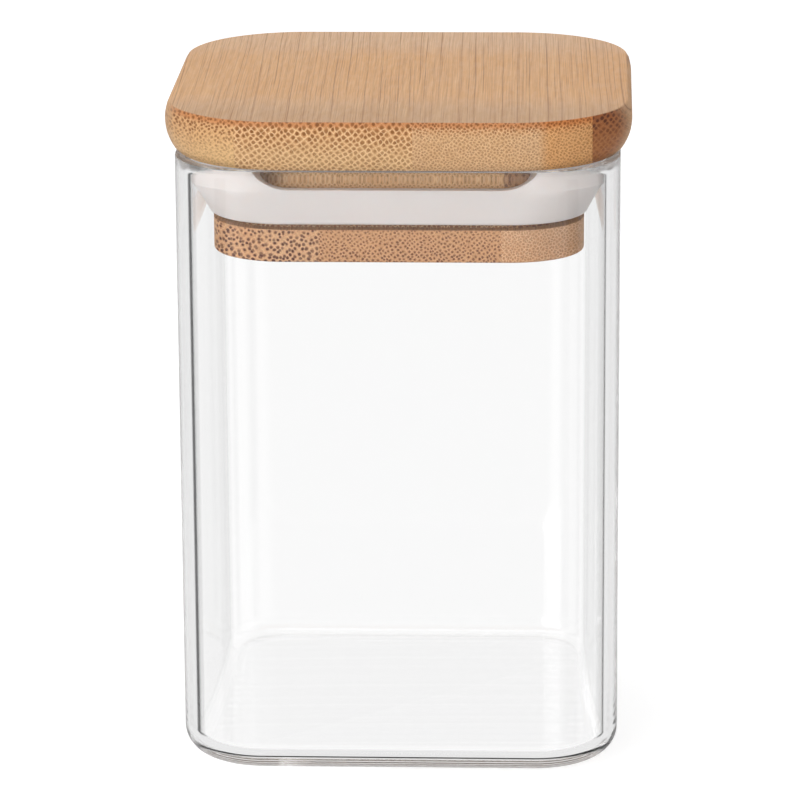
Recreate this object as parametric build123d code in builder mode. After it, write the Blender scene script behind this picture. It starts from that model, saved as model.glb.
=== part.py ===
"""Square glass spice jar, closed by a bamboo lid with a silicone seal.

The lid is glued up from three bamboo boards: a plate that covers the rim, a core that carries
the seal, and a plug that hangs inside the mouth. Each board is made of strips side by side.
The jar stands on the XY plane, centred on the Z axis, with its front towards -Y. Sizes are in
millimetres.
"""

import math
import os

from build123d import *

# Whole jar, lid closed
overall_height = 90.0
lid_gap = 0.25

# Glass
jar_width = 59.1
jar_corner_radius = 11.3
wall_thickness = 2.0
base_thickness = 1.9
foot_radius = 3.5
floor_radius = 2.0
mouth_flare_depth = 0.5
mouth_flare_height = 1.8
rim_outer_chamfer = 0.2

# Lid plate, with sides that bulge in an arc. Joint shares place its glue lines across its width.
lid_overhang = 1.5
lid_corner_radius = 16.2
plate_thickness = 6.5
plate_side_radius = 6.2
plate_widest_depth = 2.5
plate_edge_chamfer = 0.25
plate_joint_shares = (-0.335, 0.040, 0.415)

# Lid plug, which hangs inside the mouth and keeps the seal on its core
plug_mouth_gap = 2.6
plug_corner_radius = 10.0
plug_thickness = 4.4
plug_edge_chamfer = 0.4
plug_joint_shares = (-0.203, 0.278)

# Lid core, set back from the plug to make the seal's groove
groove_depth = 1.75
core_thickness = 9.0
core_joint_shares = (-0.164, 0.306)

# Seal, a collar that narrows down to its foot
seal_wall_gap = 0.15
seal_plug_gap = 0.75
seal_foot_overhang = 0.35
seal_straight_height = 3.2
seal_edge_chamfer = 0.35

# Seal pockets, one behind the lowered lip on each side
lip_thickness = 1.5
lip_drop = 3.1
lip_level_length = 27.8
lip_arc_length = 5.4
pocket_depth = 5.0
pocket_end_radius = 1.2

cut_overrun = 1.0

plate_bottom = overall_height - plate_thickness
core_bottom = plate_bottom - core_thickness
plug_bottom = core_bottom - plug_thickness
jar_height = plate_bottom - lid_gap
mouth_width = jar_width - 2 * wall_thickness
mouth_corner_radius = jar_corner_radius - wall_thickness
lid_width = jar_width + 2 * lid_overhang
plug_width = mouth_width - 2 * plug_mouth_gap
core_width = plug_width - 2 * groove_depth
core_corner_radius = plug_corner_radius - groove_depth


def write_strips(board, name, board_width, joint_shares):
    """Cut a board along its glue lines and write each strip, from left to right."""
    joints = [board_width * share for share in joint_shares]
    edges = [-board_width, *joints, board_width]
    for number, (left, right) in enumerate(zip(edges, edges[1:]), start=1):
        with BuildPart() as strip:
            add(board.part)
            split(bisect_by=Plane.YZ.offset(left), keep=Keep.TOP)
            split(bisect_by=Plane.YZ.offset(right), keep=Keep.BOTTOM)
        strip.part.label = f"{name}_strip_{number}"
        export_step(strip.part, f"parts/{strip.part.label}.step")


os.makedirs("parts", exist_ok=True)

with BuildPart() as glass_jar:
    with BuildSketch():
        RectangleRounded(jar_width, jar_width, jar_corner_radius)
    extrude(amount=jar_height)
    fillet(glass_jar.faces().sort_by(Axis.Z)[0].edges(), radius=foot_radius)
    with BuildSketch(Plane.XY.offset(base_thickness)):
        RectangleRounded(mouth_width, mouth_width, mouth_corner_radius)
    extrude(amount=jar_height - base_thickness, mode=Mode.SUBTRACT)
    floor = glass_jar.faces().filter_by(Axis.Z).sort_by(Axis.Z)[1]
    fillet(floor.edges(), radius=floor_radius)
    rim = glass_jar.faces().sort_by(Axis.Z)[-1]
    mouth = rim.inner_wires()[0].edges()
    chamfer(mouth, length=mouth_flare_depth, length2=mouth_flare_height, reference=rim)
    rim = glass_jar.faces().sort_by(Axis.Z)[-1]
    chamfer(rim.outer_wire().edges(), length=rim_outer_chamfer)
glass_jar.part.label = "glass_jar"
export_step(glass_jar.part, "parts/glass_jar.step")

# One section makes the plate's edge: it runs straight along a side and turns round a corner.
# Four such quarters stand round a square middle.
plate_widest = overall_height - plate_widest_depth
top_inset = plate_side_radius - math.sqrt(plate_side_radius**2 - plate_widest_depth**2)
bottom_rise = plate_thickness - plate_widest_depth
bottom_inset = plate_side_radius - math.sqrt(plate_side_radius**2 - bottom_rise**2)
middle_width = lid_width - 2 * lid_corner_radius
corner_axis = Axis((middle_width / 2, middle_width / 2, 0), (0, 0, 1))
top_corner = (lid_corner_radius - top_inset, overall_height)
bottom_corner = (lid_corner_radius - bottom_inset, plate_bottom)

with BuildPart() as quarter:
    with BuildSketch(Plane(corner_axis.position, x_dir=(1, 0, 0), z_dir=(0, -1, 0))) as section:
        with BuildLine():
            Polyline(top_corner, (0, overall_height), (0, plate_bottom), bottom_corner)
            ThreePointArc(bottom_corner, (lid_corner_radius, plate_widest), top_corner)
        make_face()
        chamfer(section.vertices().sort_by(Axis.X)[-2:], length=plate_edge_chamfer)
    extrude(section.sketch, amount=middle_width)
    revolve(section.sketch, axis=corner_axis, revolution_arc=90)

with BuildPart() as plate:
    with BuildSketch(Plane.XY.offset(plate_bottom)):
        Rectangle(middle_width, middle_width)
    extrude(amount=plate_thickness)
    with PolarLocations(0, 4):
        add(quarter.part)
write_strips(plate, "lid_plate", lid_width, plate_joint_shares)

with BuildPart() as core:
    with BuildSketch(Plane.XY.offset(core_bottom)):
        RectangleRounded(core_width, core_width, core_corner_radius)
    extrude(amount=core_thickness)
write_strips(core, "lid_core", core_width, core_joint_shares)

with BuildPart() as plug:
    with BuildSketch(Plane.XY.offset(plug_bottom)):
        RectangleRounded(plug_width, plug_width, plug_corner_radius)
    extrude(amount=plug_thickness)
    chamfer(plug.faces().sort_by(Axis.Z)[0].edges(), length=plug_edge_chamfer)
write_strips(plug, "lid_plug", plug_width, plug_joint_shares)

seal_width = mouth_width - 2 * seal_wall_gap
seal_corner_radius = mouth_corner_radius - seal_wall_gap
seal_foot_width = plug_width + 2 * seal_foot_overhang
seal_foot_corner_radius = plug_corner_radius + seal_foot_overhang
seal_bottom = core_bottom + seal_plug_gap
lip_height = plate_bottom - lip_drop
pocket_width = (seal_width - core_width) / 2 - lip_thickness

with BuildPart() as seal:
    with BuildSketch(Plane.XY.offset(seal_bottom)):
        RectangleRounded(seal_foot_width, seal_foot_width, seal_foot_corner_radius)
    with BuildSketch(Plane.XY.offset(plate_bottom - seal_straight_height)):
        RectangleRounded(seal_width, seal_width, seal_corner_radius)
    loft(ruled=True)
    chamfer(seal.faces().sort_by(Axis.Z)[0].edges(), length=seal_edge_chamfer)
    extrude(seal.faces().sort_by(Axis.Z)[-1], amount=seal_straight_height)
    with BuildSketch(Plane.XY.offset(core_bottom)):
        RectangleRounded(core_width, core_width, core_corner_radius)
    extrude(amount=core_thickness, mode=Mode.SUBTRACT)
    for side in (Plane.XZ, Plane.YZ):
        with BuildSketch(side):
            with BuildLine():
                level_end = (lip_level_length / 2, lip_height)
                arc_end = (lip_level_length / 2 + lip_arc_length, plate_bottom)
                Line((0, lip_height), level_end)
                TangentArc(level_end, arc_end, tangent=(1, 0))
                Polyline(arc_end, (arc_end[0], plate_bottom + cut_overrun), (0, plate_bottom + cut_overrun))
                mirror(about=Plane.YZ)
            make_face()
        extrude(amount=seal_width, both=True, mode=Mode.SUBTRACT)
    with BuildSketch(Plane.XY.offset(plate_bottom - pocket_depth)):
        with PolarLocations((core_width + pocket_width) / 2, 4):
            RectangleRounded(pocket_width, lip_level_length + lip_arc_length, pocket_end_radius)
    extrude(amount=pocket_depth + cut_overrun, mode=Mode.SUBTRACT)
seal.part.label = "seal_ring"
export_step(seal.part, "parts/seal_ring.step")
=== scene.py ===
"""Dresses the square spice jar: clear glass, a lid glued up from bamboo strips, and a white seal.

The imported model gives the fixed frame. Each operator makes one piece, or a group of like pieces,
and puts it on the model's own nodes. Sizes are in metres, and the jar's front faces -Y.
"""

import math

import bmesh
import bpy
from bpy.props import FloatProperty, FloatVectorProperty, PointerProperty
from mathutils import Matrix, Vector


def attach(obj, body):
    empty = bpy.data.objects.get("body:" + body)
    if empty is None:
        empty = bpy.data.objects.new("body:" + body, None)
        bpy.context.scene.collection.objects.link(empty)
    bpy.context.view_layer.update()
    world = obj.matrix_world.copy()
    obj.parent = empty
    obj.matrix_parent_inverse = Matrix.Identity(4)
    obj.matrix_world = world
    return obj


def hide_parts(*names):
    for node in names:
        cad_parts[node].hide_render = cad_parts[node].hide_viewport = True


bl_info = {
    "name": "Spice Jar Dressing",
    "version": (1, 0, 0),
    "blender": (4, 2, 0),
    "location": "3D View > Sidebar > Jar",
    "description": "Makes the glass, the bamboo lid, the seal and the studio of a square spice jar",
    "category": "Object",
}

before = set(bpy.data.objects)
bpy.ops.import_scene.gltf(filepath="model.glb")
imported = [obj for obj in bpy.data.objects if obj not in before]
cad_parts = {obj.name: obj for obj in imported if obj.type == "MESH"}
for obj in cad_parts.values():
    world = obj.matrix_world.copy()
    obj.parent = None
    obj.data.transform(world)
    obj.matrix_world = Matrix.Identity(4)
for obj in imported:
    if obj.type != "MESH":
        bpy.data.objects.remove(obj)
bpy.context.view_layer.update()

MM = 0.001

# Steps in a corner's arc, in an eased edge and in a pocket's corner, and cuts up the plate's side.
ARC_STEPS = 20
EASE_STEPS = 4
POCKET_STEPS = 6
PLATE_SIDE_CUTS = 11
# Angles along a quarter arc.
QUARTER = [math.radians(90 * step / 12) for step in range(13)]
# Shares of the mouth's flare from the rim down, and of the lip's curve from its level part up.
FLARE_SHARES = (1.0, 0.84, 0.67, 0.5, 0.34, 0.17, 0.0)
LIP_SHARES = (0.0, 0.15, 0.3, 0.42, 0.6, 0.75, 0.88, 1.0)
# Edges that bend by more than this stay sharp.
SHARP_BEND = math.radians(32)
# The z share of a direction that stands upright, that looks up, and that lies level.
UPRIGHT = 0.9
UPWARD = 0.5
LEVEL = 0.1
# Metres within which two heights or places count as one, and two vertices are merged.
NEAR = 1e-6
MERGE = 1e-7
SIDEWAYS = (1, 0, 0)
FORWARD = (0, 1, 0)
UP = (0, 0, 1)


def length(name, millimetres, text):
    """A length that a user may change."""
    return FloatProperty(
        name=name, description=text, default=millimetres * MM, min=0.0,
        unit="LENGTH", subtype="DISTANCE",
    )


def angle(name, degrees, text):
    """An angle that a user may change."""
    return FloatProperty(
        name=name, description=text, default=math.radians(degrees), subtype="ANGLE"
    )


def power(name, watts, text):
    """A lamp's power that a user may change."""
    return FloatProperty(name=name, description=text, default=watts, min=0.0, unit="POWER")


def colour(name, value, text):
    """A colour that a user may change, as linear values from 0 to 1."""
    return FloatVectorProperty(
        name=name, description=text, default=value, min=0.0, max=1.0, size=3, subtype="COLOR"
    )


class JarSizes(bpy.types.PropertyGroup):
    """The glass."""

    width: length("Width", 59.1, "Outer width of the glass")
    height: length("Height", 83.25, "Height of the rim over the table")
    corner_radius: length("Corner radius", 11.3, "Outer radius of the upright corners")
    wall: length("Wall", 2.0, "Thickness of the walls")
    base: length("Base", 1.9, "Thickness of the base")
    foot_radius: length("Foot radius", 3.5, "Rounding round the outside of the base")
    floor_radius: length("Floor radius", 2.0, "Rounding round the inside of the base")
    flare_height: length("Flare height", 1.8, "Height over which the mouth opens out below the rim")
    flare_depth: length("Flare depth", 0.5, "How far the mouth opens out on each side")
    rim_edge: length("Rim edge", 0.1, "Rounding of the rim's edges")
    tint: colour("Tint", (1.0, 1.0, 1.0), "Colour of the glass")


class LidSizes(bpy.types.PropertyGroup):
    """The three boards of the lid."""

    plate_width: length("Plate width", 62.1, "Width of the plate where it is widest")
    plate_radius: length("Plate radius", 16.2, "Corner radius of the plate")
    plate_bottom: length("Plate bottom", 83.3, "Height of the plate's underside")
    plate_top: length("Plate top", 90.0, "Height of the plate's top face")
    plate_side_radius: length("Side radius", 6.2, "Radius of the bulge round the plate's side")
    plate_widest: length("Widest height", 87.5, "Height at which the plate is widest")
    core_width: length("Core width", 46.4, "Width of the core inside the seal")
    core_radius: length("Core radius", 8.25, "Corner radius of the core")
    core_bottom: length("Core bottom", 74.5, "Height of the core's underside")
    plug_width: length("Plug width", 49.9, "Width of the plug below the seal")
    plug_radius: length("Plug radius", 10.0, "Corner radius of the plug")
    plug_bottom: length("Plug bottom", 70.1, "Height of the plug's underside")
    edge: length("Eased edge", 0.3, "Rounding of the boards' long edges")


class SealSizes(bpy.types.PropertyGroup):
    """The seal, a collar with a lowered lip and a pocket behind it on each side."""

    width: length("Width", 54.8, "Width of the collar's straight part")
    radius: length("Corner radius", 9.15, "Corner radius of the straight part")
    foot_width: length("Foot width", 50.6, "Width at the foot")
    foot_radius: length("Foot corner radius", 10.35, "Corner radius at the foot")
    bottom: length("Bottom", 75.25, "Height of the foot")
    shoulder: length("Shoulder", 80.3, "Height at which the straight part begins")
    top: length("Top", 83.5, "Height of the top face")
    lip: length("Lip", 1.5, "Thickness of the lip")
    lip_height: length("Lip height", 80.4, "Height of the lowered lip")
    lip_level: length("Level length", 13.9, "Half the length over which the lip is level")
    lip_arc: length("Arc length", 5.4, "Length over which the lip rises to the top")
    pocket_end: length("Pocket end", 18.6, "Half the length of a pocket")
    pocket_floor: length("Pocket floor", 78.5, "Height of the pockets' floor")
    pocket_radius: length("Pocket radius", 1.2, "Rounding of a pocket's upright corners")
    edge: length("Eased edge", 0.35, "Rounding of the foot's edge")
    silicone: colour("Silicone", (0.76, 0.715, 0.70), "Colour of the silicone")


class StudioLook(bpy.types.PropertyGroup):
    """The floor, the light and the camera."""

    floor: colour("Floor", (0.80, 0.80, 0.80), "Colour of the floor")
    key_power: power("Key power", 4.2, "Power of the soft lamp in front")
    low_power: power("Low power", 2.6, "Power of the low lamp in front")
    side_power: power("Side power", 0.9, "Power of the lamp on the right")
    top_power: power("Top power", 5.5, "Power of the soft lamp above")
    ambient: FloatProperty(
        name="Ambient", description="Level of the light from all round", default=0.45, min=0.0
    )
    lens: FloatProperty(
        name="Lens", description="Focal length in millimetres", default=210.5, min=1.0
    )
    heading: angle("Heading", 2.505, "Turn of the camera from straight ahead")
    elevation: angle("Elevation", 15.62, "How far the camera looks down")
    roll: angle("Roll", -0.347, "Roll of the camera")
    camera_place: FloatVectorProperty(
        name="Camera place", description="Where the camera stands", size=3,
        default=(0.02659, -0.62295, 0.21852), unit="LENGTH", subtype="XYZ",
    )


# Glue lines between the bamboo strips, in millimetres from the middle.
PLATE_JOINTS = (-20.8, 2.48, 25.8)
CORE_JOINTS = (-7.6, 14.2)
PLUG_JOINTS = (-10.13, 13.87)
# A place in millimetres that lies well outside the lid.
OUTSIDE_LID = 100.0

# Waves per millimetre of the bamboo's noises: across, along and up.
BEND_WAVES = (0.3, 0.02, 0.3)
GROUND_WAVES = (0.11, 0.015, 0.16)
SPECK_WAVES = (4.2, 0.2, 4.2)
SWAY_WAVES = (0.1, 0.03, 0.1)
FACE_WAVES = (0.09, 0.04, 0.12)
FINE_WAVES = (5.5, 0.07, 5.5)
BAMBOO_GLOSS_WAVES = (1.5, 0.3, 1.5)
# How far cut fibres rise per millimetre of depth, and how far a face's lines lean and sway.
FIBRE_RISE = 0.012
LINE_LEAN = 0.83
LINE_SWAY = 0.5
# Heights in millimetres between which the plate's skin turns to rind, and its strength there.
RIND_HEIGHTS = (89.0, 89.7)
RIND_SHARE = 0.75
# Places from front to back between which the top face turns golden, and greyer to the front:
# painted light, with painted sheen paler towards the back and painted shade darker towards the
# front.
GOLDEN_PLACES = (24.0, 10.0)
GOLDEN = (255, 242, 219)
FRONT_SHADE_PLACES = (-12.0, -26.0)
FRONT_SHADE = (235, 231, 224)
# Three sizes of line: lines per millimetre, width, strength, and waves of their fading.
LINE_SIZES = ((0.5, 0.055, 0.9, 0.3), (1.2, 0.11, 0.65, 0.7), (3.1, 0.2, 0.35, 1.6))
FADE_ALONG = 0.022
# The y share of a normal where a face's lines turn into cut fibres.
CUT_SHARES = (0.12, 0.5)

SILICONE_WAVES = (0.12, 0.12, 0.2)
SILICONE_GLOSS_WAVES = (2.0, 2.0, 2.0)
# Where the silicone is warmer, only these shares of its green and its blue are left.
WARM_SHARES = (0.985, 0.965)
# Light that passes straight through the glass to what the lamps light.
GLASS_SHADOW = (0.97, 0.97, 0.97, 1.0)

# The jar's walls lead light from the rim to the foot, which takes far more bounces than usual.
BOUNCES = 200
# Lamps: name, place, size, and whether they show in glossy surfaces. The first two don't, because
# the flat front of the glass would mirror them as hard white blocks.
LAMPS = (
    ("key", (-0.55, -0.85, 0.50), 0.8, False),
    ("low", (-0.35, -1.00, 0.12), 0.4, False),
    ("side", (0.90, -0.40, 0.25), 0.5, True),
    ("top", (-0.15, 0.10, 1.10), 0.8, True),
)
LAMP_AIM = (0, 0, 0.06)
SENSOR_WIDTH = 36.0
CLIP_START = 0.01

FLOOR_REACH = 4.0
PAPER_WAVES = (0.05, 0.05, 0.05)
PAPER_SHADE = (0.74, 0.74, 0.74, 1.0)
PAPER_SHARE = 0.1
# Light that only the camera sees on the floor, and the floor's level behind glass, with its share.
FLOOR_LIFT = 0.5
BEHIND_GLASS = 1.05
BEHIND_GLASS_SHARE = 0.93

# The surroundings that the glass shows: white, with a dark gap on each side. The gaps' edges are
# given as how far to the side a direction points for each unit ahead, and as its height.
WHITE = 1.03
GAP_DEPTH = 0.97
LEAST_AHEAD = 0.001
GAP_STARTS = (1.10, 1.35)
GAP_ENDS = (3.2, 2.4)
GAP_HEIGHTS = (-0.55, -0.40)
# The y shares of a direction between which the camera's side gets dimmer, and by how much.
NEAR_SIDE = (-0.80, -0.92)
NEAR_SIDE_DIM = 0.5


def linear(display):
    """A display colour from 0 to 255, as the linear values that a shader takes."""
    shares = [channel / 255 for channel in display]
    curve = [s / 12.92 if s <= 0.04045 else ((s + 0.055) / 1.055) ** 2.4 for s in shares]
    return (*curve, 1.0)


class Wiring:
    """Adds nodes to a tree. Each input is given as a value or as another node's output."""

    def __init__(self, tree):
        self.tree = tree

    def feed(self, socket, value):
        """Gives a socket a value, or links it to an output."""
        if isinstance(value, bpy.types.NodeSocket):
            self.tree.links.new(value, socket)
        else:
            socket.default_value = value

    def wire(self, node, **inputs):
        """Gives a node its inputs by name."""
        for name, value in inputs.items():
            self.feed(node.inputs[name.replace("_", " ")], value)
        return node

    def node(self, kind, settings=None, **inputs):
        """A new node, with its settings and its inputs."""
        node = self.tree.nodes.new(kind)
        for name, value in (settings or {}).items():
            setattr(node, name, value)
        return self.wire(node, **inputs)

    def maths(self, operation, *values):
        """The result of one operation on up to three values."""
        node = self.node("ShaderNodeMath", {"operation": operation})
        for socket, value in zip(node.inputs, values):
            self.feed(socket, value)
        return node.outputs[0]

    def times(self, first, *others):
        """The product of values."""
        for value in others:
            first = self.maths("MULTIPLY", first, value)
        return first

    def step(self, value, low, high, start=0.0, end=1.0):
        """A smooth change from start to end while the value goes from low to high."""
        node = self.node("ShaderNodeMapRange", {"interpolation_type": "SMOOTHSTEP"})
        for socket, number in zip(node.inputs[:5], (value, low, high, start, end)):
            self.feed(socket, number)
        return node.outputs[0]

    def split(self, vector):
        """The three parts of a vector."""
        return tuple(self.node("ShaderNodeSeparateXYZ", Vector=vector).outputs)

    def blend(self, share, first, second, kind="MIX"):
        """A colour that goes from the first to the second by a share."""
        node = self.node("ShaderNodeMix", {"data_type": "RGBA", "blend_type": kind})
        # The sockets for colours come after those for numbers and vectors.
        for index, value in ((0, share), (6, first), (7, second)):
            self.feed(node.inputs[index], value)
        return node.outputs[2]


class Finish(Wiring):
    """One material's nodes, wired from its coordinates to its surface."""

    def __init__(self, name):
        self.material = bpy.data.materials.new(name)
        self.material.use_nodes = True
        super().__init__(self.material.node_tree)
        self.surface = self.tree.nodes["Principled BSDF"]
        self.output = self.tree.nodes["Material Output"]

    def millimetres(self, shift=(0.0, 0.0, 0.0)):
        """The piece's own coordinates in millimetres, moved by a shift."""
        place = self.node("ShaderNodeTexCoord").outputs["Object"]
        scale = (1 / MM,) * 3
        return self.node("ShaderNodeMapping", Vector=place, Scale=scale, Location=shift).outputs[0]

    def shifted(self, place, shift, amount):
        """Coordinates moved about in their plane by a colour that varies from 0 to 1."""
        centred = self.node("ShaderNodeVectorMath", {"operation": "SUBTRACT"})
        self.feed(centred.inputs[0], shift)
        self.feed(centred.inputs[1], (0.5, 0.5, 0.5))
        moved = self.node("ShaderNodeVectorMath", {"operation": "MULTIPLY_ADD"})
        self.feed(moved.inputs[0], centred.outputs[0])
        self.feed(moved.inputs[1], (amount, amount, 0.0))
        self.feed(moved.inputs[2], place)
        return moved.outputs[0]

    def noise(self, place, waves, detail=2.0, rough=0.5, output=0):
        """Soft noise with its waves per millimetre along each axis, as a number or a colour."""
        stretched = self.node("ShaderNodeMapping", Vector=place, Scale=waves).outputs[0]
        node = self.node(
            "ShaderNodeTexNoise", Vector=stretched, Scale=1.0, Detail=detail, Roughness=rough
        )
        return node.outputs[output]

    def mix(self, share, first, second):
        """A shader that goes from the first to the second by a share."""
        node = self.node("ShaderNodeMixShader")
        for socket, value in zip(node.inputs, (share, first, second)):
            self.feed(socket, value)
        return node.outputs[0]

    def bump(self, strength, distance, height):
        """Gives the surface a fine relief."""
        node = self.node("ShaderNodeBump", Strength=strength, Distance=distance, Height=height)
        self.wire(self.surface, Normal=node.outputs[0])


def end_grain(finish, place, look, tones, skin):
    """Colour and relief of cut fibres: dots in a pale net, denser and darker towards the skin. On
    the core that skin band is painted shade.
    """
    across, along, up = finish.split(place)
    across = finish.maths("MULTIPLY_ADD", along, look["lean"], across)
    rise = finish.maths("MULTIPLY_ADD", along, FIBRE_RISE, up)
    section = finish.node("ShaderNodeCombineXYZ", X=across, Y=rise).outputs[0]
    bend = finish.noise(place, BEND_WAVES, 1.0, output="Color")
    section = finish.shifted(section, bend, look["bend"])
    grid = finish.node(
        "ShaderNodeMapping", Vector=section, Rotation=(0.0, 0.0, look["turn"]),
        Scale=(1 / look["spacing"], 1 / look["spacing"], 1.0),
    ).outputs[0]
    cells, walls = (
        finish.node(
            "ShaderNodeTexVoronoi", {"voronoi_dimensions": "2D", "feature": feature},
            Vector=grid, Scale=1.0, Randomness=look["scatter"],
        ).outputs
        for feature in ("F1", "DISTANCE_TO_EDGE")
    )
    chance = finish.split(cells["Color"])

    # Dots differ in size and depth. Away from the skin they have a pale heart.
    size = finish.maths("MULTIPLY_ADD", chance[0], 0.08, look["dot"])
    size = finish.maths("MULTIPLY_ADD", skin, look["swell"], size)
    reach = finish.maths("DIVIDE", cells["Distance"], size)
    heart = finish.step(reach, 0.15, 0.6, 1.0, 0.0)
    heart = finish.times(heart, look["heart"], finish.maths("SUBTRACT", 1.0, skin))
    dark = finish.maths("MULTIPLY_ADD", skin, look["dark_top"] - look["dark_low"], look["dark_low"])
    fade = finish.maths("MULTIPLY_ADD", chance[1], 0.4, 0.7)
    dot = finish.step(reach, 0.6, 1.25, 1.0, 0.0)
    dot = finish.times(dot, dark, fade, finish.maths("SUBTRACT", 1.0, heart))
    net = finish.step(walls["Distance"], 0.03, 0.16, look["net"], 0.0)
    net = finish.times(net, finish.step(chance[2], 0.1, 0.9, 0.55, 1.0))

    patches = finish.step(finish.noise(place, GROUND_WAVES), 0.35, 0.65)
    colour = finish.blend(patches, tones["ground"], tones["ground_warm"])
    # Towards the skin the colour turns to the skin tone; on the core this tone is painted shade.
    colour = finish.blend(finish.times(skin, look["orange"]), colour, tones["skin"])
    low, high = (height + look["shift"][2] for height in RIND_HEIGHTS)
    colour = finish.blend(net, colour, tones["pale"])
    colour = finish.blend(finish.step(up, low, high, 0.0, RIND_SHARE), colour, tones["rind"])
    colour = finish.blend(dot, colour, tones["fibre"])
    speck = finish.noise(place, SPECK_WAVES, 2.0, 0.6)
    specks = finish.step(speck, 0.42, 0.72, 0.0, look["speck"])
    colour = finish.blend(specks, colour, tones["fibre"])
    return colour, finish.maths("MULTIPLY_ADD", dot, -0.7, finish.times(speck, 0.4))


def long_grain(finish, place, look, tones):
    """Colour and relief of fibres along the surface: thin dark lines from front to back."""
    across, along, up = finish.split(place)
    across = finish.maths("MULTIPLY_ADD", up, LINE_LEAN, across)
    across = finish.maths("MULTIPLY_ADD", finish.noise(place, SWAY_WAVES, 1.0), LINE_SWAY, across)
    across = finish.maths("MULTIPLY_ADD", along, look["lean"], across)
    patches = finish.step(finish.noise(place, FACE_WAVES), 0.3, 0.7)
    colour = finish.blend(patches, tones["face"], tones["face_warm"])
    # Painted light: the faces turn golden in the middle, stay paler towards the back as painted
    # sheen, and turn darker and greyer towards the front as painted shade.
    depth = finish.split(finish.millimetres())[1]
    golden = finish.step(finish.maths("ABSOLUTE", depth), *GOLDEN_PLACES)
    colour = finish.blend(golden, colour, linear(GOLDEN), "MULTIPLY")
    colour = finish.blend(finish.step(depth, *FRONT_SHADE_PLACES), colour, linear(FRONT_SHADE), "MULTIPLY")
    plan = {"voronoi_dimensions": "1D", "feature": "DISTANCE_TO_EDGE"}
    lines = 0.0
    for scale, width, strength, fading in LINE_SIZES:
        at = finish.times(across, scale)
        gaps = finish.node("ShaderNodeTexVoronoi", plan, W=at, Scale=1.0).outputs["Distance"]
        line = finish.step(gaps, width / 4, width, strength, 0.0)
        fade = finish.noise(place, (fading, FADE_ALONG, fading), 2.0, 0.6)
        line = finish.times(line, finish.step(fade, 0.3, 0.62))
        lines = finish.maths("MAXIMUM", lines, line)
    colour = finish.blend(lines, colour, tones["line"])
    fine = finish.noise(place, FINE_WAVES, 3.0, 0.65)
    colour = finish.blend(finish.step(fine, 0.45, 0.8, 0.0, 0.45), colour, tones["line"])
    colour = finish.blend(finish.step(fine, 0.5, 0.25, 0.0, 0.3), colour, tones["pale"])
    return colour, finish.maths("MULTIPLY_ADD", lines, -0.5, finish.times(fine, -0.5))


def bamboo(name, look):
    """Bamboo with its fibres along Y: dotted end grain at front and back, fine lines elsewhere."""
    finish = Finish(name)
    tones = {tone: linear(look[tone]) for tone in TONES}
    place = finish.millimetres(look["shift"])
    side, _, height = finish.split(finish.millimetres())
    # Share of skin by height; on the core it marks the band of painted shade.
    skin = finish.step(height, look["low"], look["high"])
    end, pits = end_grain(finish, place, look, tones, skin)
    tint = finish.step(side, look["tint_from"], look["tint_to"], 0.0, look["tint_share"])
    end = finish.blend(tint, end, tones["tint"], "MULTIPLY")
    long, grooves = long_grain(finish, place, look, tones)
    facing = finish.split(finish.node("ShaderNodeTexCoord").outputs["Normal"])[1]
    cut = finish.step(finish.maths("ABSOLUTE", facing), *CUT_SHARES)
    gloss = finish.step(finish.noise(place, BAMBOO_GLOSS_WAVES), 0.3, 0.7, 0.5, 0.64)
    finish.wire(
        finish.surface, Base_Color=finish.blend(cut, long, end), Roughness=gloss,
        Specular_IOR_Level=0.35,
    )
    relief = finish.maths("MULTIPLY_ADD", cut, finish.maths("SUBTRACT", pits, grooves), grooves)
    finish.bump(0.3, 0.04 * MM, relief)
    return finish.material


def glass(name, tint):
    """Clear glass that lets the lamps' light through without dark shadows."""
    finish = Finish(name)
    finish.wire(
        finish.surface, Base_Color=(*tint, 1.0), Roughness=0.0, IOR=1.5, Transmission_Weight=1.0
    )
    clear = finish.node("ShaderNodeBsdfTransparent", Color=GLASS_SHADOW).outputs[0]
    shadow = finish.node("ShaderNodeLightPath").outputs["Is Shadow Ray"]
    both = finish.mix(shadow, finish.surface.outputs[0], clear)
    finish.wire(finish.output, Surface=both)
    return finish.material


def silicone(name, tone):
    """Milky silicone, satin, with the faint unevenness of a moulded face."""
    finish = Finish(name)
    place = finish.millimetres()
    warm = (tone[0], tone[1] * WARM_SHARES[0], tone[2] * WARM_SHARES[1], 1.0)
    cloud = finish.noise(place, SILICONE_WAVES)
    mottle = finish.noise(place, SILICONE_GLOSS_WAVES)
    finish.wire(
        finish.surface, Base_Color=finish.blend(cloud, (*tone, 1.0), warm), IOR=1.42,
        Roughness=finish.step(mottle, 0.3, 0.7, 0.36, 0.46), Subsurface_Weight=0.6,
        Subsurface_Radius=(2.4, 2.0, 1.8), Subsurface_Scale=MM,
    )
    finish.bump(0.1, 0.03 * MM, mottle)
    return finish.material


def uprights(bm):
    """The edges that stand upright."""
    return [
        e for e in bm.edges if abs((e.verts[0].co - e.verts[1].co).normalized().z) > UPRIGHT
    ]


def at_height(bm, height):
    """The edges that lie level at a height."""
    return [e for e in bm.edges if all(abs(v.co.z - height) < NEAR for v in e.verts)]


def ease(bm, edges, radius, segments):
    """Rounds edges to a radius."""
    bmesh.ops.bevel(
        bm, geom=edges, offset=radius, offset_type="OFFSET", segments=segments, profile=0.5,
        affect="EDGES", clamp_overlap=False, material=-1,
    )


def slab(bm, width, radius, bottom, top):
    """A square block with rounded upright corners."""
    size = Matrix.Diagonal((width, width, top - bottom, 1.0))
    middle = Matrix.Translation((0, 0, (bottom + top) / 2))
    bmesh.ops.create_cube(bm, size=1.0, matrix=middle @ size)
    ease(bm, uprights(bm), radius, ARC_STEPS)


def whole(faces):
    """Faces with all their edges and vertices."""
    edges = {e for f in faces for e in f.edges}
    return faces + list(edges) + list({v for f in faces for v in f.verts})


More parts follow.
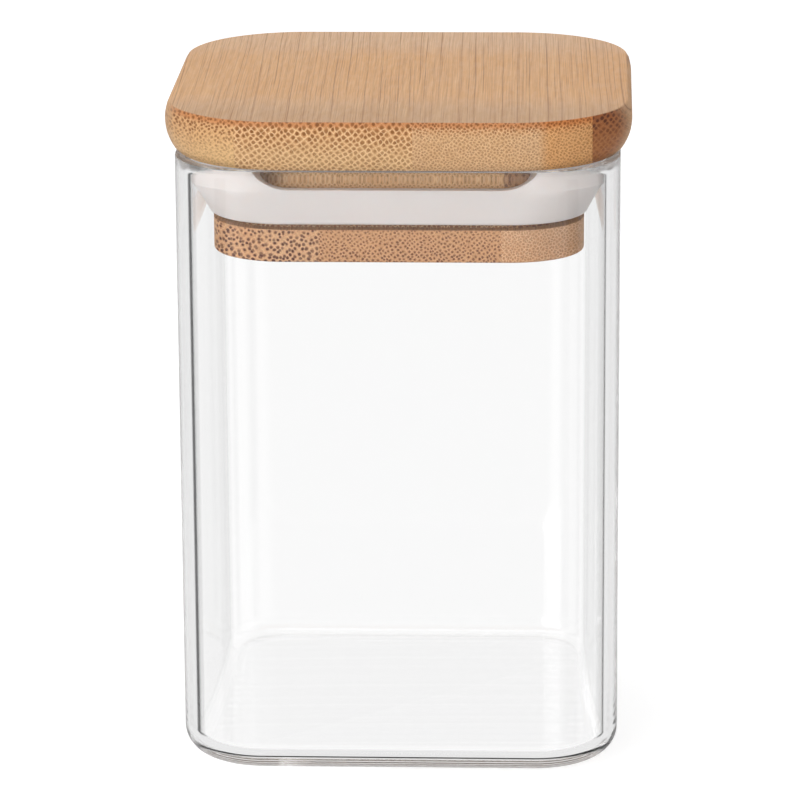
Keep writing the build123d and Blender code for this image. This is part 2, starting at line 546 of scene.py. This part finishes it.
def cut_across(bm, faces, place, normal):
    """Cuts faces along a plane."""
    bmesh.ops.bisect_plane(bm, geom=whole(faces), plane_co=place, plane_no=normal)


def outline(bm, width, radius, height):
    """A closed loop of edges round a square with rounded corners, at a height."""
    place = Matrix.Translation((0, 0, height)) @ Matrix.Rotation(math.radians(45), 4, "Z")
    bmesh.ops.create_circle(
        bm, cap_ends=False, segments=4, radius=width / math.sqrt(2), matrix=place
    )
    bmesh.ops.bevel(
        bm, geom=bm.verts[:] + bm.edges[:], offset=radius, offset_type="OFFSET",
        segments=ARC_STEPS, profile=0.5, affect="VERTICES", clamp_overlap=False, material=-1,
    )
    return bm.edges[:]


def carry_on(bm, loop, last, width, radius, height):
    """Grows a band of faces from a loop to a new outline. last begins with width and radius."""
    grown = bmesh.ops.extrude_edge_only(bm, edges=loop)["geom"]
    for vertex in (v for v in grown if isinstance(v, bmesh.types.BMVert)):
        side = Vector((math.copysign(1, vertex.co.x), math.copysign(1, vertex.co.y), 0))
        out = (vertex.co - side * (last[0] / 2 - last[1])) / last[1]
        vertex.co = side * (width / 2 - radius) + out * radius
        vertex.co.z = height
    return [e for e in grown if isinstance(e, bmesh.types.BMEdge)]


def draw_in(vertex, middle, depth):
    """Moves a vertex in from the outline of a block whose corner arcs turn about +-middle."""
    x, y = vertex.co.x, vertex.co.y
    hub = Vector((max(-middle, min(middle, x)), max(-middle, min(middle, y)), vertex.co.z))
    out = vertex.co - hub
    if out.length > MERGE:
        vertex.co -= out.normalized() * depth


def settle(bm, name, body, node, material):
    """Makes a mesh a finished piece: smooth over its curves, on its body, in place of a node."""
    bmesh.ops.remove_doubles(bm, verts=bm.verts[:], dist=MERGE)
    bmesh.ops.recalc_face_normals(bm, faces=bm.faces[:])
    for face in bm.faces:
        face.smooth = True
    for edge in bm.edges:
        edge.smooth = edge.calc_face_angle(0.0) < SHARP_BEND
    mesh = bpy.data.meshes.new(name)
    bm.to_mesh(mesh)
    bm.free()
    piece = bpy.data.objects.new(name, mesh)
    bpy.context.scene.collection.objects.link(piece)
    mesh.materials.append(material)
    weighted = piece.modifiers.new("Weighted normals", "WEIGHTED_NORMAL")
    weighted.keep_sharp = True
    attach(piece, body)
    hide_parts(node)
    return piece


def cut_strips(board, group, joints, looks):
    """Cuts a board at its glue lines and finishes each strip with its own cane."""
    edges = [-OUTSIDE_LID, *joints, OUTSIDE_LID]
    for number, (left, right, look) in enumerate(zip(edges, edges[1:], looks), start=1):
        strip = board.copy()
        for place, outward in ((left, -1.0), (right, 1.0)):
            cut = bmesh.ops.bisect_plane(
                strip, geom=strip.verts[:] + strip.edges[:] + strip.faces[:],
                plane_co=(place * MM, 0, 0), plane_no=(outward, 0, 0), clear_outer=True,
            )
            open_edges = [e for e in cut["geom_cut"] if isinstance(e, bmesh.types.BMEdge)]
            if open_edges:
                bmesh.ops.holes_fill(strip, edges=open_edges, sides=0)
        node = f"{group}_strip_{number}"
        material = bamboo(f"bamboo_{node}", look)
        settle(strip, f"{group}_bamboo_{number}", "lid", node, material)
    board.free()


# The usual cane. Lengths are in millimetres and tones are display colours from 0 to 255.
BASE_LOOK = {
    # The pattern's place and lean, and the dots' grid: its turn, spacing, scatter and bend.
    "shift": (0.0, 0.0, 0.0),
    "lean": 0.02,
    "turn": math.radians(52),
    "spacing": 0.66,
    "scatter": 0.42,
    "bend": 0.8,
    # The dots: radius as a share of the spacing, growth towards the skin, and depth of tone.
    "dot": 0.25,
    "swell": 0.07,
    "heart": 0.7,
    "dark_top": 0.95,
    "dark_low": 0.7,
    # Heights between which the cane turns to skin, and how strongly it turns orange there. On the
    # core these keys paint shade instead of skin.
    "low": 85.0,
    "high": 89.6,
    "orange": 0.6,
    "net": 0.85,
    "speck": 0.3,
    # Cut fibres, with a tint that sets in between two places from left to right.
    "ground": (216, 172, 122),
    "ground_warm": (208, 162, 114),
    "skin": (205, 140, 86),
    "rind": (196, 124, 72),
    "pale": (246, 212, 164),
    "fibre": (136, 84, 44),
    "tint": (255, 255, 255),
    "tint_from": 0.0,
    "tint_to": 1.0,
    "tint_share": 0.0,
    # Faces along the fibres.
    "face": (214, 177, 143),
    "face_warm": (214, 174, 136),
    "line": (160, 116, 82),
}
TONES = (
    "ground", "ground_warm", "skin", "rind", "pale", "fibre", "tint", "face", "face_warm", "line",
)


def cane(**changes):
    """The look of one strip: the usual cane with a few changes."""
    return {**BASE_LOOK, **changes}


PLATE_CANES = (
    cane(
        shift=(11.0, 3.0, 2.0), spacing=0.5, dot=0.25, scatter=0.7, dark_low=0.3, net=0.3,
        heart=0.3, speck=0.4, ground=(226, 184, 130), ground_warm=(218, 174, 124),
        skin=(214, 156, 104),
    ),
    cane(lean=0.03),
    cane(
        shift=(37.0, 9.0, 5.0), spacing=0.42, scatter=0.75, dot=0.26, dark_top=0.9, dark_low=0.5,
        net=0.8, heart=0.4, turn=0.6, low=88.0, ground=(212, 168, 126),
        ground_warm=(208, 162, 116), pale=(240, 206, 162), tint=(255, 236, 206), tint_from=18.5,
        tint_to=20.5, tint_share=1.0,
    ),
    cane(
        shift=(61.0, 15.0, 8.0), spacing=0.62, dark_low=0.4, heart=0.3, low=86.5, net=0.5,
        ground=(172, 108, 58), ground_warm=(164, 98, 52), skin=(156, 88, 44),
        pale=(186, 126, 76), fibre=(88, 42, 14), rind=(150, 84, 44),
    ),
)
# Painted shade: the core is painted darker just over its lower end, where the seal shades it. Here
# the skin heights, share and tone paint that shade, not bamboo skin.
CORE_PAINTED_SHADE = {"low": 75.9, "high": 75.3, "orange": 1.0, "skin": (120, 82, 56)}
# Painted light: the first two core strips are paler than their wood, to make up for the shade
# behind the seal's lip. The third is a darker cane.
CORE_CANES = (
    cane(
        **CORE_PAINTED_SHADE, shift=(5.0, 41.0, 1.0), spacing=0.5, dot=0.2, dark_top=0.6,
        ground=(244, 200, 146), ground_warm=(238, 190, 134), pale=(255, 226, 180),
        fibre=(168, 112, 66),
    ),
    cane(
        **CORE_PAINTED_SHADE, shift=(17.0, 29.0, 3.0), spacing=0.45, dot=0.2, dark_top=0.6,
        ground=(240, 194, 138), ground_warm=(236, 188, 130), pale=(255, 222, 174),
        fibre=(164, 108, 62),
    ),
    cane(
        **CORE_PAINTED_SHADE, shift=(29.0, 17.0, 7.0), spacing=0.6, dark_low=0.8, ground=(206, 156, 110),
        ground_warm=(198, 146, 102), pale=(220, 176, 130), fibre=(120, 70, 36),
    ),
)
PLUG_LOOK = {
    "low": 77.0, "high": 69.5, "face": (214, 168, 124), "face_warm": (208, 160, 116),
    "line": (150, 104, 68),
}
PLUG_CANES = (
    cane(
        **PLUG_LOOK, shift=(3.0, 51.0, 2.0), spacing=0.62, dot=0.24, swell=0.12, scatter=0.8,
        heart=0.0, dark_low=0.9, dark_top=1.0, orange=0.1, net=0.4, ground=(200, 146, 102),
        ground_warm=(210, 162, 120), fibre=(84, 28, 0),
    ),
    cane(
        **PLUG_LOOK, shift=(23.0, 71.0, 4.0), spacing=0.5, dot=0.21, swell=0.08, scatter=0.6,
        heart=0.0, dark_low=0.7, dark_top=0.95, orange=0.1, net=0.5, ground=(198, 146, 100),
        ground_warm=(196, 144, 100), pale=(232, 190, 146), fibre=(104, 48, 8),
    ),
    cane(
        **PLUG_LOOK, shift=(43.0, 91.0, 6.0), spacing=0.4, dot=0.2, scatter=0.8, dark_top=0.5,
        dark_low=0.4, net=0.9, ground=(196, 150, 112), ground_warm=(190, 144, 106),
        pale=(238, 204, 166),
    ),
)


class JAR_OT_glass(bpy.types.Operator):
    """Makes the glass jar, open at the top, with rounded corners, foot, floor and rim"""

    bl_idname = "jar.glass"
    bl_label = "Glass jar"

    def execute(self, context):
        sizes = context.scene.jar_sizes
        outside = (sizes.width, sizes.corner_radius)
        inside = (sizes.width - 2 * sizes.wall, sizes.corner_radius - sizes.wall)
        top = sizes.height
        foot, edge, floor = sizes.foot_radius, sizes.rim_edge, sizes.floor_radius

        def ring(start, inset, height):
            return start[0] - 2 * inset, start[1] - inset, height

        rings = [
            ring(outside, foot * (1 - math.sin(a)), foot * (1 - math.cos(a))) for a in QUARTER
        ]
        rings += [
            ring(outside, edge * (1 - math.cos(a)), top - edge * (1 - math.sin(a)))
            for a in QUARTER[::3]
        ]
        # The mouth's flare is an arc that starts upright and leans back up to the rim.
        rise, depth = sizes.flare_height, sizes.flare_depth
        flare_radius = (rise**2 + depth**2) / (2 * depth)
        lean = math.asin(rise / flare_radius)
        rings += [ring(inside, -depth - edge, top)]
        for share in FLARE_SHARES:
            out = flare_radius * (1 - math.cos(lean * share))
            height = (rise - edge / 2) * math.sin(lean * share) / math.sin(lean)
            rings += [ring(inside, -out, top - rise + height)]
        rings += [
            ring(inside, floor * (1 - math.cos(a)), sizes.base + floor * (1 - math.sin(a)))
            for a in QUARTER
        ]
        bm = bmesh.new()
        bottom = loop = outline(bm, *rings[0])
        for last, following in zip(rings, rings[1:]):
            loop = carry_on(bm, loop, last, *following)
        bmesh.ops.holes_fill(bm, edges=list(bottom) + loop, sides=0)
        settle(bm, "jar_glass", "jar", "glass_jar", glass("jar_glass", sizes.tint))
        return {"FINISHED"}


class JAR_OT_lid_plate(bpy.types.Operator):
    """Makes the plate that covers the rim, with bulging sides, in four bamboo strips"""

    bl_idname = "jar.lid_plate"
    bl_label = "Lid plate"

    def execute(self, context):
        sizes = context.scene.lid_sizes
        bm = bmesh.new()
        slab(bm, sizes.plate_width, sizes.plate_radius, sizes.plate_bottom, sizes.plate_top)
        bmesh.ops.subdivide_edges(
            bm, edges=uprights(bm), cuts=PLATE_SIDE_CUTS, use_grid_fill=True
        )
        middle = sizes.plate_width / 2 - sizes.plate_radius
        for vertex in bm.verts:
            off = vertex.co.z - sizes.plate_widest
            bulge = math.sqrt(sizes.plate_side_radius**2 - off**2)
            draw_in(vertex, middle, sizes.plate_side_radius - bulge)
        rims = at_height(bm, sizes.plate_top) + at_height(bm, sizes.plate_bottom)
        ease(bm, rims, sizes.edge, EASE_STEPS)
        cut_strips(bm, "lid_plate", PLATE_JOINTS, PLATE_CANES)
        return {"FINISHED"}


class JAR_OT_lid_core(bpy.types.Operator):
    """Makes the core that carries the seal, in three bamboo strips"""

    bl_idname = "jar.lid_core"
    bl_label = "Lid core"

    def execute(self, context):
        sizes = context.scene.lid_sizes
        bm = bmesh.new()
        slab(bm, sizes.core_width, sizes.core_radius, sizes.core_bottom, sizes.plate_bottom)
        cut_strips(bm, "lid_core", CORE_JOINTS, CORE_CANES)
        return {"FINISHED"}


class JAR_OT_lid_plug(bpy.types.Operator):
    """Makes the plug that hangs inside the mouth, in three bamboo strips"""

    bl_idname = "jar.lid_plug"
    bl_label = "Lid plug"

    def execute(self, context):
        sizes = context.scene.lid_sizes
        bm = bmesh.new()
        slab(bm, sizes.plug_width, sizes.plug_radius, sizes.plug_bottom, sizes.core_bottom)
        ease(bm, at_height(bm, sizes.plug_bottom), sizes.edge, EASE_STEPS)
        cut_strips(bm, "lid_plug", PLUG_JOINTS, PLUG_CANES)
        return {"FINISHED"}


class JAR_OT_seal(bpy.types.Operator):
    """Makes the silicone seal: a tapered collar with a lowered lip and a pocket on each side"""

    bl_idname = "jar.seal"
    bl_label = "Seal"

    def execute(self, context):
        sizes = context.scene.seal_sizes
        lid = context.scene.lid_sizes
        core = (lid.core_width, lid.core_radius)
        edge = sizes.edge
        rings = [
            self.taper(sizes, edge * (1 - math.cos(a)), edge * (1 - math.sin(a)))
            for a in QUARTER[::3]
        ]
        reach = sizes.shoulder - sizes.bottom - edge
        rings += [self.taper(sizes, edge + reach * step / 4, 0.0) for step in (1, 2, 3, 4)]
        rings += [(sizes.width, sizes.radius, sizes.top), (*core, sizes.top), (*core, sizes.bottom)]
        bm = bmesh.new()
        loop, last = outline(bm, *core, sizes.bottom), core
        for ring in rings:
            loop, last = carry_on(bm, loop, last, *ring), ring
        bmesh.ops.remove_doubles(bm, verts=bm.verts[:], dist=MERGE)
        bmesh.ops.recalc_face_normals(bm, faces=bm.faces[:])
        self.lower_lip(bm, sizes)
        self.sink_pockets(bm, sizes, lid.core_width / 2)
        material = silicone("seal_silicone", sizes.silicone)
        settle(bm, "seal_silicone", "lid", "seal_ring", material)
        return {"FINISHED"}

    def taper(self, sizes, rise, inset):
        """The collar's outline, as width, radius and height, at a rise over its foot."""
        share = rise / (sizes.shoulder - sizes.bottom)
        width = sizes.foot_width + (sizes.width - sizes.foot_width) * share
        radius = sizes.foot_radius + (sizes.radius - sizes.foot_radius) * share
        return width - 2 * inset, radius - inset, sizes.bottom + rise

    def lower_lip(self, bm, sizes):
        """Cuts the collar across where the lip curves and the pockets end, and lowers its top."""
        level, arc = sizes.lip_level, sizes.lip_arc
        drop = sizes.top - sizes.lip_height
        arc_radius = (arc**2 + drop**2) / (2 * drop)
        stations = [level + arc * share for share in LIP_SHARES]
        for station in (*stations, sizes.pocket_end):
            for place in (station, -station):
                for normal in (SIDEWAYS, FORWARD):
                    cut_across(bm, bm.faces[:], Vector(normal) * place, normal)
        for vertex in bm.verts:
            past = max(0.0, min(abs(vertex.co.x), abs(vertex.co.y)) - level)
            if vertex.co.z > sizes.top - NEAR and past < arc:
                vertex.co.z = sizes.lip_height + arc_radius - math.sqrt(arc_radius**2 - past**2)

    def sink_pockets(self, bm, sizes, inside):
        """Sinks a pocket into the top on each side, between the lip and the core."""
        outside = sizes.width / 2 - sizes.lip
        floor = sizes.pocket_floor

        def reach(point):
            """How far a point lies out from the middle, and along its side."""
            return sorted((abs(point.x), abs(point.y)), reverse=True)

        def top_faces():
            bm.normal_update()
            return [
                f for f in bm.faces
                if f.normal.z > UPWARD and f.calc_center_median().z > sizes.lip_height - NEAR
            ]

        def in_pocket(face):
            return reach(face.calc_center_median())[1] < sizes.pocket_end - NEAR

        def on_core(face):
            across = reach(face.calc_center_median())[0]
            return abs(face.normal.z) < LEVEL and across < inside + NEAR

        for normal in (SIDEWAYS, FORWARD):
            for place in (outside, -outside):
                cut_across(bm, top_faces(), Vector(normal) * place, normal)
        cut_across(bm, [f for f in bm.faces if on_core(f)], Vector((0, 0, floor)), UP)
        region = [
            f for f in top_faces() if reach(f.calc_center_median())[0] < outside and in_pocket(f)
        ]
        grown = bmesh.ops.extrude_face_region(bm, geom=whole(region))["geom"]
        for vertex in (v for v in grown if isinstance(v, bmesh.types.BMVert)):
            vertex.co.z = floor
        bm.normal_update()
        opened = [
            f for f in bm.faces
            if on_core(f) and in_pocket(f) and f.calc_center_median().z > floor
        ]
        bmesh.ops.delete(bm, geom=opened, context="FACES")
        bmesh.ops.remove_doubles(bm, verts=bm.verts[:], dist=MERGE)
        corner = Vector((outside, sizes.pocket_end))
        corners = [
            e for e in uprights(bm)
            if all((Vector(reach(v.co)) - corner).length < NEAR for v in e.verts)
        ]
        ease(bm, corners, sizes.pocket_radius, POCKET_STEPS)


class JAR_OT_studio(bpy.types.Operator):
    """Makes the pale floor, the soft light round the jar and the camera"""

    bl_idname = "jar.studio"
    bl_label = "Studio"

    def execute(self, context):
        look = context.scene.studio_look
        scene = context.scene
        scene.view_settings.view_transform = "Standard"
        scene.cycles.max_bounces = BOUNCES
        scene.cycles.glossy_bounces = BOUNCES
        scene.cycles.transmission_bounces = BOUNCES
        self.floor(scene, look)
        self.surroundings(scene, look)
        for name, place, size, mirrored in LAMPS:
            self.lamp(scene, name, place, size, getattr(look, f"{name}_power"), mirrored)
        camera = bpy.data.objects.new("camera", bpy.data.cameras.new("camera"))
        camera.data.lens = look.lens
        camera.data.sensor_width = SENSOR_WIDTH
        camera.data.clip_start = CLIP_START
        camera.data.dof.use_dof = False
        camera.matrix_world = (
            Matrix.Translation(look.camera_place)
            @ Matrix.Rotation(look.heading, 4, "Z")
            @ Matrix.Rotation(math.radians(90) - look.elevation, 4, "X")
            @ Matrix.Rotation(look.roll, 4, "Z")
        )
        scene.collection.objects.link(camera)
        scene.camera = camera
        return {"FINISHED"}

    def floor(self, scene, look):
        """A wide floor that looks white and still takes the jar's shadow."""
        bm = bmesh.new()
        bmesh.ops.create_grid(bm, x_segments=8, y_segments=8, size=FLOOR_REACH)
        mesh = bpy.data.meshes.new("floor")
        bm.to_mesh(mesh)
        bm.free()
        floor = bpy.data.objects.new("floor", mesh)
        scene.collection.objects.link(floor)
        finish = Finish("floor_paper")
        mesh.materials.append(finish.material)
        path = finish.node("ShaderNodeLightPath").outputs
        speck = finish.times(finish.noise(finish.millimetres(), PAPER_WAVES), PAPER_SHARE)
        paper = finish.blend(speck, (*look.floor, 1.0), PAPER_SHADE)
        finish.wire(finish.surface, Base_Color=paper, Roughness=0.9, Specular_IOR_Level=0.0)
        lift = finish.node(
            "ShaderNodeEmission", Strength=finish.times(path["Is Camera Ray"], FLOOR_LIFT)
        )
        both = finish.node("ShaderNodeAddShader")
        finish.feed(both.inputs[0], finish.surface.outputs[0])
        finish.feed(both.inputs[1], lift.outputs[0])
        # Through the glass the floor keeps only a trace of its shading.
        first = finish.maths("LESS_THAN", path["Diffuse Depth"], 0.5)
        share = finish.times(path["Is Transmission Ray"], first, BEHIND_GLASS_SHARE)
        plain = finish.node("ShaderNodeEmission", Strength=BEHIND_GLASS).outputs[0]
        through = finish.mix(share, both.outputs[0], plain)
        # Light that the glass has led along its walls passes the floor, to the surroundings.
        mirrored = finish.maths("MINIMUM", path["Glossy Depth"], 1.0)
        led = finish.times(mirrored, path["Transmission Depth"])
        led = finish.maths("GREATER_THAN", led, 0.5)
        clear = finish.node("ShaderNodeBsdfTransparent").outputs[0]
        finish.wire(finish.output, Surface=finish.mix(led, through, clear))

    def surroundings(self, scene, look):
        """White for the camera and the glass, with a dark gap at each side, and plain light."""
        world = bpy.data.worlds.new("studio")
        scene.world = world
        world.use_nodes = True
        world.node_tree.nodes.clear()
        wiring = Wiring(world.node_tree)
        path = wiring.node("ShaderNodeLightPath").outputs
        x, y, z = wiring.split(wiring.node("ShaderNodeTexCoord").outputs["Generated"])
        # The dark gaps lie beyond the white that is seen straight through the jar.
        ahead = wiring.maths("MAXIMUM", wiring.maths("ABSOLUTE", y), LEAST_AHEAD)
        spread = wiring.maths("DIVIDE", wiring.maths("ABSOLUTE", x), ahead)
        gap = wiring.times(wiring.step(spread, *GAP_STARTS), wiring.step(spread, *GAP_ENDS))
        dark = wiring.times(gap, wiring.step(z, *GAP_HEIGHTS), GAP_DEPTH)
        bright = wiring.maths("SUBTRACT", WHITE, dark)
        # The camera's side is dimmer, so that the front wall shows little of itself.
        dim = wiring.times(wiring.step(y, *NEAR_SIDE), NEAR_SIDE_DIM)
        bright = wiring.maths("SUBTRACT", bright, dim)
        # Light that has left a matt surface gets the plain level, through glass too.
        seen = wiring.maths("MAXIMUM", path["Is Glossy Ray"], path["Is Transmission Ray"])
        seen = wiring.times(seen, wiring.maths("LESS_THAN", path["Diffuse Depth"], 0.5))
        plain = wiring.times(wiring.maths("SUBTRACT", 1.0, seen), look.ambient)
        level = wiring.maths("ADD", wiring.times(seen, bright), plain)
        camera = path["Is Camera Ray"]
        level = wiring.times(wiring.maths("SUBTRACT", 1.0, camera), level)
        level = wiring.maths("ADD", camera, level)
        background = wiring.node("ShaderNodeBackground", Strength=level).outputs[0]
        wiring.node("ShaderNodeOutputWorld", Surface=background)

    def lamp(self, scene, name, place, size, power, mirrored):
        """A square soft lamp that faces the jar, and shows in glossy surfaces if mirrored."""
        data = bpy.data.lights.new(name, "AREA")
        data.size = size
        data.energy = power
        lamp = bpy.data.objects.new(name, data)
        turn = (Vector(LAMP_AIM) - Vector(place)).to_track_quat("-Z", "Y")
        lamp.matrix_world = Matrix.Translation(place) @ turn.to_matrix().to_4x4()
        lamp.visible_glossy = mirrored
        scene.collection.objects.link(lamp)


OPERATORS = (
    JAR_OT_glass,
    JAR_OT_lid_plate,
    JAR_OT_lid_core,
    JAR_OT_lid_plug,
    JAR_OT_seal,
    JAR_OT_studio,
)


class JAR_PT_pieces(bpy.types.Panel):
    """Lists the steps that dress the jar"""

    bl_label = "Spice jar"
    bl_idname = "JAR_PT_pieces"
    bl_space_type = "VIEW_3D"
    bl_region_type = "UI"
    bl_category = "Jar"

    def draw(self, context):
        for operator in OPERATORS:
            self.layout.operator(operator.bl_idname)


GROUPS = {
    "jar_sizes": JarSizes,
    "lid_sizes": LidSizes,
    "seal_sizes": SealSizes,
    "studio_look": StudioLook,
}


def register():
    for cls in (*GROUPS.values(), *OPERATORS, JAR_PT_pieces):
        bpy.utils.register_class(cls)
    for name, group in GROUPS.items():
        setattr(bpy.types.Scene, name, PointerProperty(type=group))


def unregister():
    for name in GROUPS:
        delattr(bpy.types.Scene, name)
    for cls in (JAR_PT_pieces, *reversed(OPERATORS), *GROUPS.values()):
        bpy.utils.unregister_class(cls)


def main():
    register()
    bpy.ops.jar.glass()
    bpy.ops.jar.lid_plate()
    bpy.ops.jar.lid_core()
    bpy.ops.jar.lid_plug()
    bpy.ops.jar.seal()
    bpy.ops.jar.studio()


if __name__ == "__main__":
    main()
